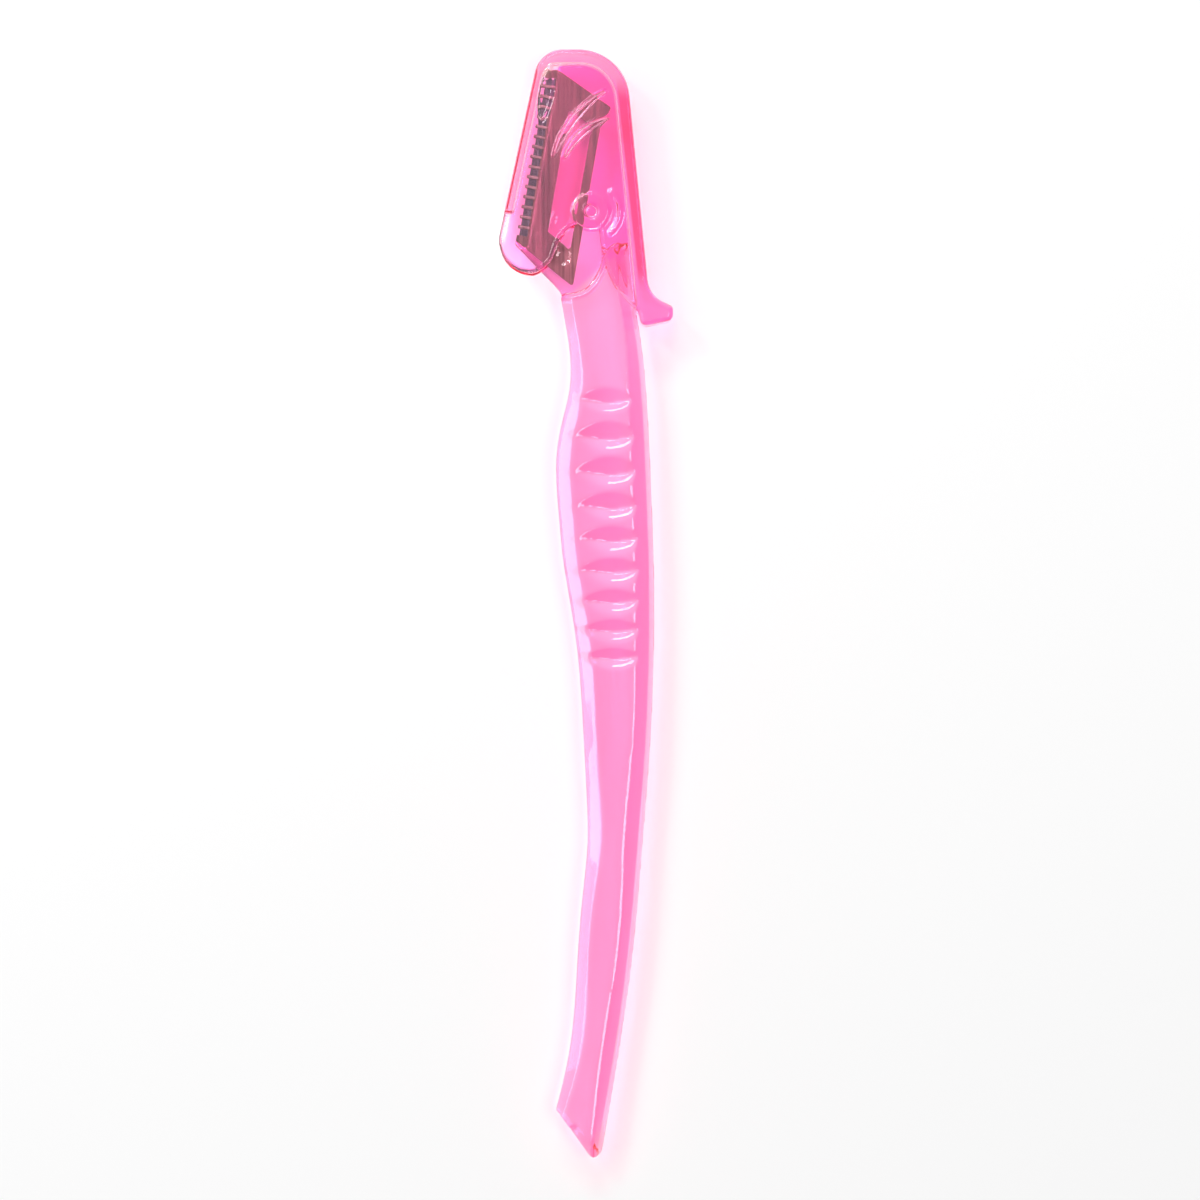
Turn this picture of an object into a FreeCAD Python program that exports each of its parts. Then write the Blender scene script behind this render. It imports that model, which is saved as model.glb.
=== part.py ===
"""Eyebrow razor: a clear moulded handle with a slotted steel guard, a blade and a slide-off cap.

Lengths are in millimetres. The razor lies on its back: +Z up, +Y from the tail to the head,
+X away from the cutting edge. While the shapes are made, the datum is the point where the neck's
step meets the straight spine, on the table. The finished pieces are then moved so that the
origin is the middle of the razor's outline, on the table.
"""
import FreeCAD, Part
import math
import os

Vec = FreeCAD.Vector
UP = Vec(0, 0, 1)

# Handle, from the neck's step to where the tail's spine edge and its slanted cut would meet
HANDLE_LENGTH = 127.0
NECK_WIDTH = 10.1
NECK_THICKNESS = 4.6
CAPPED_NECK = 7.7
GRIP_WIDTH = 13.1
GRIP_THICKNESS = 5.2
EDGE_BREAK = 0.4
BEVEL_WIDTH = 1.85
BEVEL_DEPTH = 1.5
EDGE_BEVEL_SHARE = 1.15
EDGE_BEVEL_DEPTH = 0.9
NECK_BEVEL_WIDTH = 1.25
BAR_RISE = 1.9
NECK_STATION_COUNT = 5
SPINE_DRAFT = 0.75
SPINE_LEAN_DEG = 5.6
TAIL_CUT_ANGLE_DEG = 54.8
TAIL_TIP_RADIUS = 1.05
TAIL_CORNER_RADIUS = 0.6
TAIL_CHAMFER = 0.9
TAIL_CHAMFER_LENGTH = 6.9

# Stations below the capped neck: how far along the handle, the edge on the blade's side and the
# spine edge as shares of the grip's width, the front's height as a share of the grip's
# thickness, and the bevel as a share of its full width
HANDLE_STATION_SHARES = (
    (0.092, -0.659, 0.110, 0.900, 0.70),
    (0.131, -0.615, 0.160, 0.930, 0.80),
    (0.169, -0.649, 0.189, 0.965, 0.95),
    (0.212, -0.745, 0.213, 1.000, 1.00),
    (0.256, -0.766, 0.231, 1.000, 1.00),
    (0.320, -0.717, 0.255, 1.000, 1.00),
    (0.386, -0.622, 0.266, 1.000, 1.00),
    (0.473, -0.514, 0.254, 0.990, 0.90),
    (0.582, -0.454, 0.196, 0.975, 0.90),
    (0.690, -0.475, 0.112, 0.955, 0.80),
    (0.800, -0.559, 0.002, 0.935, 0.75),
    (0.909, -0.703, -0.160, 0.915, 0.70),
    (1.020, -0.878, -0.350, 0.890, 0.70),
)

# Thumb scallops in the front of the grip
SCALLOP_COUNT = 9
SCALLOP_RADIUS = 4.8
SCALLOP_REACH = 5.6
SCALLOP_DEPTH = 1.0
SCALLOP_ROLL = 2.4
SCALLOP_INSET = 2.95
SCALLOP_START = 21.95
SCALLOP_FIRST_PITCH = 5.02
SCALLOP_LAST_PITCH = 3.55

# Head plate, thinner than the neck, with the steel moulded into it
HEAD_WIDTH = 15.6
HEAD_THICKNESS = 2.8
HEAD_TOP_MARGIN = 0.8
HEAD_CROWN_SHARE = 0.317
HEAD_CORNER_RADIUS = 0.6
HEAD_MARGIN = 1.2
HEAD_TOE_RADIUS = 0.35
HEAD_ROOT_DEPTH = 11.5
HEAD_ROOT_SET_IN = 1.3
WAIST_RADIUS = 3.4
WAIST_RISE = 1.1
STEP_DROP = 7.7
# The step's S-shaped line, from the spine to the blade's side: shares of the neck's width and of
# the step's drop
STEP_LINE_SHARES = (
    (0.12, 0.04),
    (-0.14, -0.02),
    (-0.29, -0.16),
    (-0.34, -0.37),
    (-0.41, -0.57),
    (-0.52, -0.78),
    (-0.69, -0.90),
    (-0.85, -0.93),
    (-1.10, -1.02),
)
EJECTOR_MARK_RADIUS = 1.25
EJECTOR_MARK_DROP = 1.05
EJECTOR_MARK_SET_IN = 6.7
LOCK_MARK_SIZE = 2.5
LOCK_MARK_RISE = 2.25
LOCK_MARK_SET_IN = 4.5
MARK_DEPTH = 0.3

# Folded steel guard
EDGE_LEAN_DEG = 9.8
GUARD_FOOT_RISE = 0.55
GUARD_LENGTH = 23.6
GUARD_SHEET = 0.3
GUARD_SHOW = 1.7
GUARD_FLANK_SHARE = 0.564
GUARD_HOOK = 1.0
GUARD_END_SLOPE_DEG = 29.0
GUARD_NOSE_CORNER_RADIUS = 0.9
GUARD_CORNER_RADIUS = 0.3
WINDOW_WIDTH_SHARE = 0.398
WINDOW_SET_IN_SHARE = 0.466
WINDOW_RISE = 1.95
WINDOW_END_MARGIN = 4.45
SLOT_PITCH = 1.4
SLOT_WIDTH = 0.95
SLOT_DEPTH = 1.45
SLOT_END_MARGIN = 0.75

# Blade
BLADE_THICKNESS = 0.25
BLADE_BACK_MARGIN = 0.17
BLADE_GRIND = 0.9
BLADE_END_SETBACK = 0.5
EDGE_CLEARANCE = 0.03

# Cap
CAP_FACE = 0.85
CAP_GAP = 0.28
CAP_EDGE_GAP = 0.36
CAP_EDGE_WALL = 0.95
CAP_SPINE_WALL = 1.7
CAP_EDGE_LEAN_DEG = 12.3
CAP_CORNER_SHARE = 0.25
CAP_EDGE_BREAK = 0.45
LOBE_DROP = 4.05
LOBE_RADIUS_SHARE = 0.288
LOBE_FLAT = 0.2
EDGE_WALL_END = 4.5
# The mouth of both faces: from the lobe's lowest point to the boss, and from the boss down to the
# spine wall, as shares of the width between the two and of the mouth's height
MOUTH_HEIGHT = 11.7
MOUTH_FOOT = 9.35
MOUTH_LOBE_SHARES = (
    (0.097, 0.512),
    (0.183, 0.624),
    (0.230, 0.788),
    (0.304, 0.929),
)
MOUTH_SPINE_SHARES = (
    (0.646, 0.776),
    (0.691, 0.553),
    (0.780, 0.306),
    (0.895, 0.118),
    (1.000, 0.000),
)
BOSS_RADIUS = 2.45
BOSS_LOBE_SIDE_DEG = 223.0
BOSS_SPINE_SIDE_DEG = 297.0
BOSS_RISE = 4.4
BOSS_PLACE_SHARE = 0.308
BOSS_HEIGHT = 0.35
BOSS_ARC_RADIUS = 3.95
BOSS_ARC_WIDTH = 0.5
BOSS_ARC_HEIGHT = 0.3
BOSS_ARC_START_DEG = -50.0
BOSS_ARC_SWEEP_DEG = 98.0
PIP_RADIUS = 0.95
PIP_HOLLOW = 0.6
RIB_GAP = 0.3
# Two crescent ribs under the cap's front and a leaf-shaped relief on it. Each runs from a lower to
# an upper point, given in shares of the head's width and length, and is bowed on both sides by
# shares of the head's width
RIB_SHARES = (
    (-0.664, 0.482, -0.200, 0.855, 0.092, 0.040),
    (-0.577, 0.470, -0.176, 0.703, 0.085, 0.035),
)
RELIEF_SHARES = (-0.770, 0.676, -0.690, 0.998, 0.058, -0.050)
RELIEF_HEIGHT = 0.25
TAB_ROOT = 7.0
TAB_REACH = 3.3
TAB_FALL = 1.65
TAB_FOOT = 11.35
TAB_FOOT_GAP = 0.32
TAB_CONCAVE_RADIUS = 3.6
TAB_TIP_RADIUS = 0.5
TAB_FOOT_RADIUS = 0.9

# One overrun serves every cutting tool
OVERRUN = 5.0

SPINE_LEAN = math.radians(SPINE_LEAN_DEG)
EDGE_LEAN = math.radians(EDGE_LEAN_DEG)
CAP_EDGE_LEAN = math.radians(CAP_EDGE_LEAN_DEG)
TAIL_CUT_ANGLE = math.radians(TAIL_CUT_ANGLE_DEG)
GUARD_END_SLOPE = math.radians(GUARD_END_SLOPE_DEG)

# The head ends a margin beyond the guard. The guard's width, the head's rounded corners and the
# cap's follow the head's width, and the blade reaches back to the guard's window
HEAD_LENGTH = GUARD_FOOT_RISE + GUARD_LENGTH * math.cos(EDGE_LEAN) + HEAD_TOP_MARGIN
HEAD_CROWN_RADIUS = HEAD_WIDTH * HEAD_CROWN_SHARE
CAP_CORNER_RADIUS = HEAD_WIDTH * CAP_CORNER_SHARE
LOBE_RADIUS = HEAD_WIDTH * LOBE_RADIUS_SHARE
GUARD_FLANK_WIDTH = HEAD_WIDTH * GUARD_FLANK_SHARE
WINDOW_WIDTH = GUARD_FLANK_WIDTH * WINDOW_WIDTH_SHARE
WINDOW_SET_IN = GUARD_FLANK_WIDTH * WINDOW_SET_IN_SHARE
BLADE_WIDTH = WINDOW_SET_IN - GUARD_SHEET - EDGE_CLEARANCE - BLADE_BACK_MARGIN

# Heights above the table: the cap's back lies on it, and the handle's back is held off it
CAVITY_FLOOR = CAP_FACE
HANDLE_BACK = CAP_FACE + CAP_GAP
NECK_FRONT = HANDLE_BACK + NECK_THICKNESS
CAVITY_ROOF = NECK_FRONT + CAP_GAP
CAP_FRONT = CAVITY_ROOF + CAP_FACE
MIDDLE = HANDLE_BACK + NECK_THICKNESS / 2
HEAD_BACK = MIDDLE - HEAD_THICKNESS / 2
HEAD_FRONT = MIDDLE + HEAD_THICKNESS / 2
GRIP_FRONT = HANDLE_BACK + GRIP_THICKNESS

# The guard's own directions in plan: along its nose, and from the nose towards the spine
NOSE_FOOT = Vec(-HEAD_WIDTH, GUARD_FOOT_RISE, 0)
ALONG_NOSE = Vec(math.sin(EDGE_LEAN), math.cos(EDGE_LEAN), 0)
FROM_NOSE = Vec(math.cos(EDGE_LEAN), -math.sin(EDGE_LEAN), 0)
GUARD_THICKNESS = BLADE_THICKNESS + 2 * GUARD_SHEET


def spine_x(y):
    """X of the straight spine line at the height y."""
    return -y * math.tan(SPINE_LEAN)


def from_nose(along, across, z=0):
    """A point given along the guard's nose and across from it."""
    return NOSE_FOOT + ALONG_NOSE * along + FROM_NOSE * across + UP * z


def meet(p, p_dir, q, q_dir):
    """Where two lines in plan cross."""
    turn = p_dir.x * q_dir.y - p_dir.y * q_dir.x
    gap = q - p
    return p + p_dir * ((gap.x * q_dir.y - gap.y * q_dir.x) / turn)


def rounded_path(corners, closed=True):
    """Edges through corners, each a point and a radius, with tangent arcs at the corners."""
    count = len(corners)
    joints = []
    for i, (point, radius) in enumerate(corners):
        at_end = not closed and i in (0, count - 1)
        if at_end or radius == 0:
            joints.append((point, None, point))
            continue
        back = (corners[i - 1][0] - point).normalize()
        ahead = (corners[(i + 1) % count][0] - point).normalize()
        half = back.getAngle(ahead) / 2
        reach = radius / math.tan(half)
        inward = (back + ahead).normalize()
        top = point + inward * (radius / math.sin(half) - radius)
        joints.append((point + back * reach, top, point + ahead * reach))
    edges = []
    for i, (start, top, end) in enumerate(joints):
        if top is not None:
            edges.append(Part.Arc(start, top, end).toShape())
        if i < count - 1 or closed:
            following = joints[(i + 1) % count][0]
            edges.append(Part.makeLine(end, following))
    return edges


def spline(points):
    """A smooth edge through the points."""
    curve = Part.BSplineCurve()
    curve.interpolate(points)
    return curve.toShape()


def prism(edges, bottom, top):
    """A solid between two heights over a closed outline of edges."""
    face = Part.Face(Part.Wire(Part.__sortEdges__(edges)))
    face.translate(UP * bottom)
    return face.extrude(UP * (top - bottom))


def between(stations, y):
    """The station values at the height y, worked out between two neighbours."""
    for upper, lower in zip(stations, stations[1:]):
        if lower[0] <= y <= upper[0]:
            part = (upper[0] - y) / (upper[0] - lower[0])
            return [a + (b - a) * part for a, b in zip(upper, lower)]
    raise ValueError("no station at this height")


def handle_stations():
    """Rows of y, blade-side x, spine-side x, front height and bevel width, from the neck down."""
    rows = []
    for i in range(NECK_STATION_COUNT):
        y = BAR_RISE - (BAR_RISE + CAPPED_NECK) * i / (NECK_STATION_COUNT - 1)
        right = spine_x(y)
        rows.append((y, right - NECK_WIDTH, right, NECK_FRONT, NECK_BEVEL_WIDTH))
    for along, left, right, height, bevel in HANDLE_STATION_SHARES:
        rows.append((-along * HANDLE_LENGTH, left * GRIP_WIDTH, right * GRIP_WIDTH,
                     HANDLE_BACK + height * GRIP_THICKNESS, bevel * BEVEL_WIDTH))
    return rows


def handle_section(y, left, right, front, bevel):
    """One cross-section: a low bevel on the blade's side, a deep one and a draft on the spine's."""
    back = HANDLE_BACK
    corners = [
        (left + EDGE_BREAK, back), (left, back + EDGE_BREAK),
        (left, front - EDGE_BEVEL_DEPTH), (left + bevel * EDGE_BEVEL_SHARE, front),
        (right - SPINE_DRAFT - bevel, front), (right - SPINE_DRAFT, front - BEVEL_DEPTH),
        (right, back + EDGE_BREAK), (right - EDGE_BREAK, back),
    ]
    points = [Vec(x, y, z) for x, z in corners]
    return Part.makePolygon(points + points[:1])


def handle_bar():
    """The bar of the handle, from above the step to beyond the tail's cut."""
    return Part.makeLoft([handle_section(*row) for row in handle_stations()], True, False)


def step_clearance():
    """Everything above the S-shaped line where the neck steps down to the head."""
    line = [Vec(x * NECK_WIDTH, y * STEP_DROP, 0) for x, y in STEP_LINE_SHARES]
    right, left = line[0], line[-1]
    top = HEAD_LENGTH
    outline = [spline(line)]
    outline += rounded_path([(left, 0), (Vec(left.x, top, 0), 0), (Vec(right.x, top, 0), 0), (right, 0)],
                            closed=False)
    return prism(outline, -OVERRUN, GRIP_FRONT + OVERRUN)


def tail_lines():
    """The tail's slanted cut, its spine edge and its other edge, each a point and a direction."""
    upper, lower = handle_stations()[-2:]
    spine = Vec(upper[2] - lower[2], upper[0] - lower[0], 0).normalize()
    edge = Vec(upper[1] - lower[1], upper[0] - lower[0], 0).normalize()
    cut = Vec(-math.cos(TAIL_CUT_ANGLE), math.sin(TAIL_CUT_ANGLE), 0)
    tip = on_line((Vec(lower[2], lower[0], 0), spine), -HANDLE_LENGTH)
    return (tip, cut), (tip, spine), (Vec(lower[1], lower[0], 0), edge)


def tail_outline():
    """The part of the plan that the slanted tail cut leaves, rounded at the tip."""
    (tip, cut), spine, edge = tail_lines()
    corner = meet(tip, cut, *edge)
    high = on_line(spine, HEAD_LENGTH)
    far_left = corner - Vec(HEAD_WIDTH, 0, 0)
    corners = [(tip, TAIL_TIP_RADIUS), (high, 0), (Vec(far_left.x, high.y, 0), 0), (far_left, 0),
               (corner, TAIL_CORNER_RADIUS)]
    return prism(rounded_path(corners), -OVERRUN, GRIP_FRONT + OVERRUN)


def tail_chamfer():
    """The wedge that bevels the front edge of the slanted tail cut."""
    tip, cut = tail_lines()[0]
    front = handle_stations()[-1][3]
    inward = Vec(cut.y, -cut.x, 0)
    start = tip - cut * OVERRUN
    profile = [start - inward * OVERRUN + UP * (front + OVERRUN),
               start - inward * OVERRUN + UP * (front - TAIL_CHAMFER - OVERRUN),
               start + inward * (TAIL_CHAMFER + OVERRUN) + UP * (front + OVERRUN)]
    face = Part.Face(Part.makePolygon(profile + profile[:1]))
    return face.extrude(cut * (TAIL_CHAMFER_LENGTH + OVERRUN))


def scallop(bottom, pitch, centre_x):
    """One thumb scallop's tool: a sloping groove that ends at a rolled, crescent-shaped wall."""
    sweep = (SCALLOP_REACH ** 2 + SCALLOP_DEPTH ** 2) / (2 * SCALLOP_DEPTH)
    wall = math.sqrt(SCALLOP_DEPTH * (2 * SCALLOP_ROLL - SCALLOP_DEPTH))
    slope = Vec(0, pitch - wall, SCALLOP_DEPTH).normalize()
    floor = GRIP_FRONT - SCALLOP_DEPTH
    deep = Vec(centre_x, bottom, floor + sweep / slope.y)
    lead = sweep + OVERRUN
    groove = Part.makeCylinder(sweep, pitch + 2 * lead, deep - slope * lead, slope)
    middle = Vec(centre_x, bottom + SCALLOP_RADIUS, floor)
    foot = middle + Vec(SCALLOP_RADIUS, 0, 0)
    top = foot + Vec(wall, 0, SCALLOP_DEPTH)
    half_turn = math.asin(wall / SCALLOP_ROLL) / 2
    on_roll = top + Vec(-math.sin(half_turn), 0, math.cos(half_turn) - 1) * SCALLOP_ROLL
    outside = [top, top + UP * OVERRUN, middle + UP * OVERRUN, middle - UP * OVERRUN,
               foot - UP * OVERRUN, foot]
    edges = [Part.makeLine(p, q) for p, q in zip(outside, outside[1:])]
    edges.append(Part.Arc(foot, on_roll, top).toShape())
    bowl = Part.Face(Part.Wire(Part.__sortEdges__(edges))).revolve(middle, UP)
    return groove.common(bowl)


def scallops():
    """All the scallops' tools, closer together towards the tail."""
    tools = []
    rows = handle_stations()
    bottom = -SCALLOP_START
    shrink = (SCALLOP_FIRST_PITCH - SCALLOP_LAST_PITCH) / (SCALLOP_COUNT - 1)
    for i in range(SCALLOP_COUNT):
        _, _, right, _, bevel = between(rows, bottom)
        centre_x = right - SPINE_DRAFT - bevel - SCALLOP_INSET
        pitch = SCALLOP_FIRST_PITCH - shrink * i
        tools.append(scallop(bottom, pitch, centre_x))
        bottom -= pitch
    return tools


def head_left_line():
    """A point and the direction of the plastic's edge beside the exposed guard."""
    return from_nose(0, GUARD_SHOW), ALONG_NOSE


def head_plate():
    """The thin plate that carries the steel, reaching down inside the neck."""
    spine_dir = Vec(-math.sin(SPINE_LEAN), math.cos(SPINE_LEAN), 0)
    top_point, across = Vec(0, HEAD_LENGTH, 0), Vec(1, 0, 0)
    crown = meet(Vec(0, 0, 0), spine_dir, top_point, across)
    left_point, left_dir = head_left_line()
    top_left = meet(left_point, left_dir, top_point, across)
    end = guard_end_direction()
    shoulder = meet(left_point, left_dir, NOSE_FOOT, end)
    toe = from_nose(0, 0)
    toe_foot = from_nose(-HEAD_MARGIN / 2, 0)
    waist = Vec(spine_x(-CAPPED_NECK) - NECK_WIDTH, -CAPPED_NECK + WAIST_RISE, 0)
    low_left = Vec(waist.x + HEAD_ROOT_SET_IN, -HEAD_ROOT_DEPTH, 0)
    inside = Vec(-NECK_WIDTH / 2, -STEP_DROP, 0)
    corners = [(crown, HEAD_CROWN_RADIUS), (top_left, HEAD_CORNER_RADIUS), (shoulder, 0), (toe, 0),
               (toe_foot, HEAD_TOE_RADIUS), (waist, WAIST_RADIUS), (low_left, 0),
               (Vec(inside.x, low_left.y, 0), 0), (inside, 0), (Vec(0, -EDGE_BREAK / 2, 0), 0)]
    return prism(rounded_path(corners), HEAD_BACK, HEAD_FRONT)


def head_marks():
    """Shallow round and square marks in the head's front."""
    floor = HEAD_FRONT - MARK_DEPTH
    centre = from_nose(-EJECTOR_MARK_DROP, EJECTOR_MARK_SET_IN, floor)
    ring = Part.makeCylinder(EJECTOR_MARK_RADIUS, OVERRUN, centre)
    low = from_nose(LOCK_MARK_RISE, LOCK_MARK_SET_IN)
    size = LOCK_MARK_SIZE
    square = [(low, 0), (low + FROM_NOSE * size, 0), (low + (FROM_NOSE + ALONG_NOSE) * size, 0),
              (low + ALONG_NOSE * size, 0)]
    return [ring, prism(rounded_path(square), floor, HEAD_FRONT + OVERRUN)]


def handle_body():
    """The moulded handle before the steel is taken out of it."""
    bar = handle_bar().cut(step_clearance())
    bar = bar.common(tail_outline())
    bar = bar.cut(tail_chamfer())
    bar = bar.cut(scallops())
    head = head_plate().cut(head_marks())
    return bar.fuse(head)


def guard_end_direction():
    """Direction of the guard's slanted ends, from the nose down towards the spine."""
    return FROM_NOSE * math.cos(GUARD_END_SLOPE) - ALONG_NOSE * math.sin(GUARD_END_SLOPE)


def guard_outline():
    """The guard's plan: a long flank with slanted ends and a small hook at the upper corner."""
    fall = GUARD_FLANK_WIDTH * math.tan(GUARD_END_SLOPE)
    top = GUARD_LENGTH + GUARD_HOOK / 2
    corners = [
        (from_nose(0, 0), 0),
        (from_nose(-fall, GUARD_FLANK_WIDTH), GUARD_CORNER_RADIUS),
        (from_nose(top - fall - 2 * GUARD_HOOK, GUARD_FLANK_WIDTH), GUARD_CORNER_RADIUS),
        (from_nose(top - fall + GUARD_HOOK, GUARD_FLANK_WIDTH + GUARD_HOOK), GUARD_CORNER_RADIUS),
        (from_nose(top, GUARD_SHOW), GUARD_CORNER_RADIUS),
        (from_nose(GUARD_LENGTH, 0), GUARD_NOSE_CORNER_RADIUS),
    ]
    return rounded_path(corners)


def guard_fold():
    """The folded sheet's profile, drawn out along the nose."""
    reach = GUARD_FLANK_WIDTH + 2 * GUARD_HOOK
    outer, inner = GUARD_THICKNESS / 2, BLADE_THICKNESS / 2

    def at(across, height):
        return from_nose(-GUARD_LENGTH / 2, across, MIDDLE + height)

    edges = [
        Part.makeLine(at(reach, outer), at(outer, outer)),
        Part.Arc(at(outer, outer), at(0, 0), at(outer, -outer)).toShape(),
        Part.makeLine(at(outer, -outer), at(reach, -outer)),
        Part.makeLine(at(reach, -outer), at(reach, -inner)),
        Part.makeLine(at(reach, -inner), at(outer, -inner)),
        Part.Arc(at(outer, -inner), at(GUARD_SHEET, 0), at(outer, inner)).toShape(),
        Part.makeLine(at(outer, inner), at(reach, inner)),
        Part.makeLine(at(reach, inner), at(reach, outer)),
    ]
    return Part.Face(Part.Wire(edges)).extrude(ALONG_NOSE * (GUARD_LENGTH * 2))


def guard_slots():
    """The row of slots across the nose: as many as fit, centred on the guard's length."""
    gaps = int((GUARD_LENGTH - 2 * SLOT_END_MARGIN - SLOT_WIDTH) / SLOT_PITCH)
    first = (GUARD_LENGTH - gaps * SLOT_PITCH - SLOT_WIDTH) / 2
    tools = []
    for i in range(gaps + 1):
        low = first + i * SLOT_PITCH
        high = low + SLOT_WIDTH
        corners = [(from_nose(low, -OVERRUN), 0), (from_nose(low, SLOT_DEPTH), 0),
                   (from_nose(high, SLOT_DEPTH), 0), (from_nose(high, -OVERRUN), 0)]
        tools.append(prism(rounded_path(corners), 0, NECK_FRONT))
    return tools


def guard_window():
    """The window that the plastic of the head fills."""
    shear = WINDOW_WIDTH * math.tan(GUARD_END_SLOPE)
    low, high = WINDOW_SET_IN, WINDOW_SET_IN + WINDOW_WIDTH
    top = GUARD_LENGTH - WINDOW_END_MARGIN
    corners = [(from_nose(WINDOW_RISE, low), GUARD_CORNER_RADIUS),
               (from_nose(WINDOW_RISE - shear, high), GUARD_CORNER_RADIUS),
               (from_nose(top - shear, high), GUARD_CORNER_RADIUS),
               (from_nose(top, low), GUARD_CORNER_RADIUS)]
    return prism(rounded_path(corners), 0, NECK_FRONT)


def guard_plate():
    """The steel guard, folded round the cutting edge, slotted and windowed."""
    sheet = guard_fold().common(prism(guard_outline(), 0, NECK_FRONT))
    return sheet.cut(guard_slots() + [guard_window()])


def blade():
    """The blade, with a ground edge that lies in the fold of the guard."""
    half = BLADE_THICKNESS / 2
    edge = GUARD_SHEET + EDGE_CLEARANCE
    ground = edge + BLADE_GRIND
    back = edge + BLADE_WIDTH
    start = BLADE_END_SETBACK
    profile = [(edge, 0), (ground, half), (back, half), (back, -half), (ground, -half)]
    points = [from_nose(-GUARD_LENGTH, across, MIDDLE + height) for across, height in profile]
    bar = Part.Face(Part.makePolygon(points + points[:1])).extrude(ALONG_NOSE * (GUARD_LENGTH * 3))
    fall = back * math.tan(GUARD_END_SLOPE)
    top = GUARD_LENGTH - start
    corners = [(from_nose(start, 0), 0), (from_nose(start - fall, back), 0),
               (from_nose(start - fall, back * 2), 0), (from_nose(top, back * 2), 0),
               (from_nose(top, edge + GUARD_NOSE_CORNER_RADIUS), 0),
               (from_nose(top - GUARD_NOSE_CORNER_RADIUS, 0), 0)]
    return bar.common(prism(rounded_path(corners), 0, NECK_FRONT))


def cap_lines():
    """The cavity's three plan lines, each a point and a direction: edge side, top and spine."""
    edge_dir = Vec(math.sin(CAP_EDGE_LEAN), math.cos(CAP_EDGE_LEAN), 0)
    edge_point = from_nose(GUARD_LENGTH - GUARD_NOSE_CORNER_RADIUS, -CAP_EDGE_GAP)
    top_point = Vec(0, HEAD_LENGTH + CAP_GAP, 0)
    spine_dir = Vec(-math.sin(SPINE_LEAN), math.cos(SPINE_LEAN), 0)
    spine_point = Vec(CAP_GAP / math.cos(SPINE_LEAN), 0, 0)
    return (edge_point, edge_dir), (top_point, Vec(1, 0, 0)), (spine_point, spine_dir)


def shifted(line, distance):
    """The same line moved sideways, to the right of its direction for a positive distance."""
    point, direction = line
    return point + Vec(direction.y, -direction.x, 0) * distance, direction


def on_line(line, y):
    """The line's point at the height y."""
    return meet(*line, Vec(0, y, 0), Vec(1, 0, 0))


def cap_cavity():
    """The space inside the cap, open at the mouth."""
    edge, top, spine = cap_lines()
    low = -MOUTH_FOOT - OVERRUN
    corners = [(on_line(edge, low), 0), (meet(*edge, *top), CAP_CORNER_RADIUS - CAP_SPINE_WALL),
               (meet(*top, *spine), HEAD_CROWN_RADIUS + CAP_GAP), (on_line(spine, low), 0)]
    return prism(rounded_path(corners), CAVITY_FLOOR, CAVITY_ROOF)


def mouth_points(shares, start, foot):
    """The mouth's points, from their shares of its width from the lobe and its height from the foot."""
    width = foot.x - start.x
    return [Vec(start.x + x * width, foot.y + y * MOUTH_HEIGHT, 0) for x, y in shares]


def boss_centre():
    """The middle of the round boss, beside the mouth."""
    return Vec(spine_x(BOSS_RISE) - HEAD_WIDTH * BOSS_PLACE_SHARE, BOSS_RISE, 0)


def boss_rim(angle_deg):
    """A point on the boss's rim at an angle from +X."""
    angle = math.radians(angle_deg)
    return boss_centre() + Vec(math.cos(angle), math.sin(angle), 0) * BOSS_RADIUS


def lobe_start(edge):
    """Where the lobe's round corner runs out on its lowest line."""
    half = edge[1].getAngle(Vec(1, 0, 0)) / 2
    return on_line(edge, -LOBE_DROP) + Vec(LOBE_RADIUS / math.tan(half) + LOBE_FLAT, 0, 0)


def thumb_tab(outer_spine, foot):
    """The tab's corners, from its root on the spine wall round to the mouth's foot."""
    root = on_line(outer_spine, -TAB_ROOT)
    tip = root + Vec(TAB_REACH, -TAB_FALL, 0)
    low = Vec(tip.x, -TAB_FOOT + TAB_FOOT_RADIUS, 0)
    beside_handle = between(handle_stations(), -TAB_FOOT)[2] + TAB_FOOT_GAP
    return [(root, TAB_CONCAVE_RADIUS), (tip, TAB_TIP_RADIUS), (low, TAB_FOOT_RADIUS),
            (Vec(beside_handle, -TAB_FOOT, 0), TAB_FOOT_RADIUS), (foot, 0)]


def cap_outline():
    """The cap's outer plan: lobe, edge wall, crown, spine wall, thumb tab and mouth."""
    edge, top, spine = cap_lines()
    edge, top = shifted(edge, -CAP_EDGE_WALL), shifted(top, -CAP_SPINE_WALL)
    outer_spine = shifted(spine, CAP_SPINE_WALL)
    start, foot = lobe_start(edge), on_line(spine, -MOUTH_FOOT)
    lobe = [start] + mouth_points(MOUTH_LOBE_SHARES, start, foot) + [boss_rim(BOSS_LOBE_SIDE_DEG)]
    right = [boss_rim(BOSS_SPINE_SIDE_DEG)] + mouth_points(MOUTH_SPINE_SHARES, start, foot)
    corners = [(start, 0), (on_line(edge, -LOBE_DROP), LOBE_RADIUS),
               (meet(*edge, *top), CAP_CORNER_RADIUS),
               (meet(*top, *outer_spine), HEAD_CROWN_RADIUS + CAP_GAP + CAP_SPINE_WALL)]
    under_boss = boss_rim((BOSS_LOBE_SIDE_DEG + BOSS_SPINE_SIDE_DEG) / 2)
    edges = rounded_path(corners + thumb_tab(outer_spine, foot), closed=False)
    edges += [spline(lobe), spline(right), Part.Arc(lobe[-1], under_boss, right[0]).toShape()]
    return edges


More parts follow.
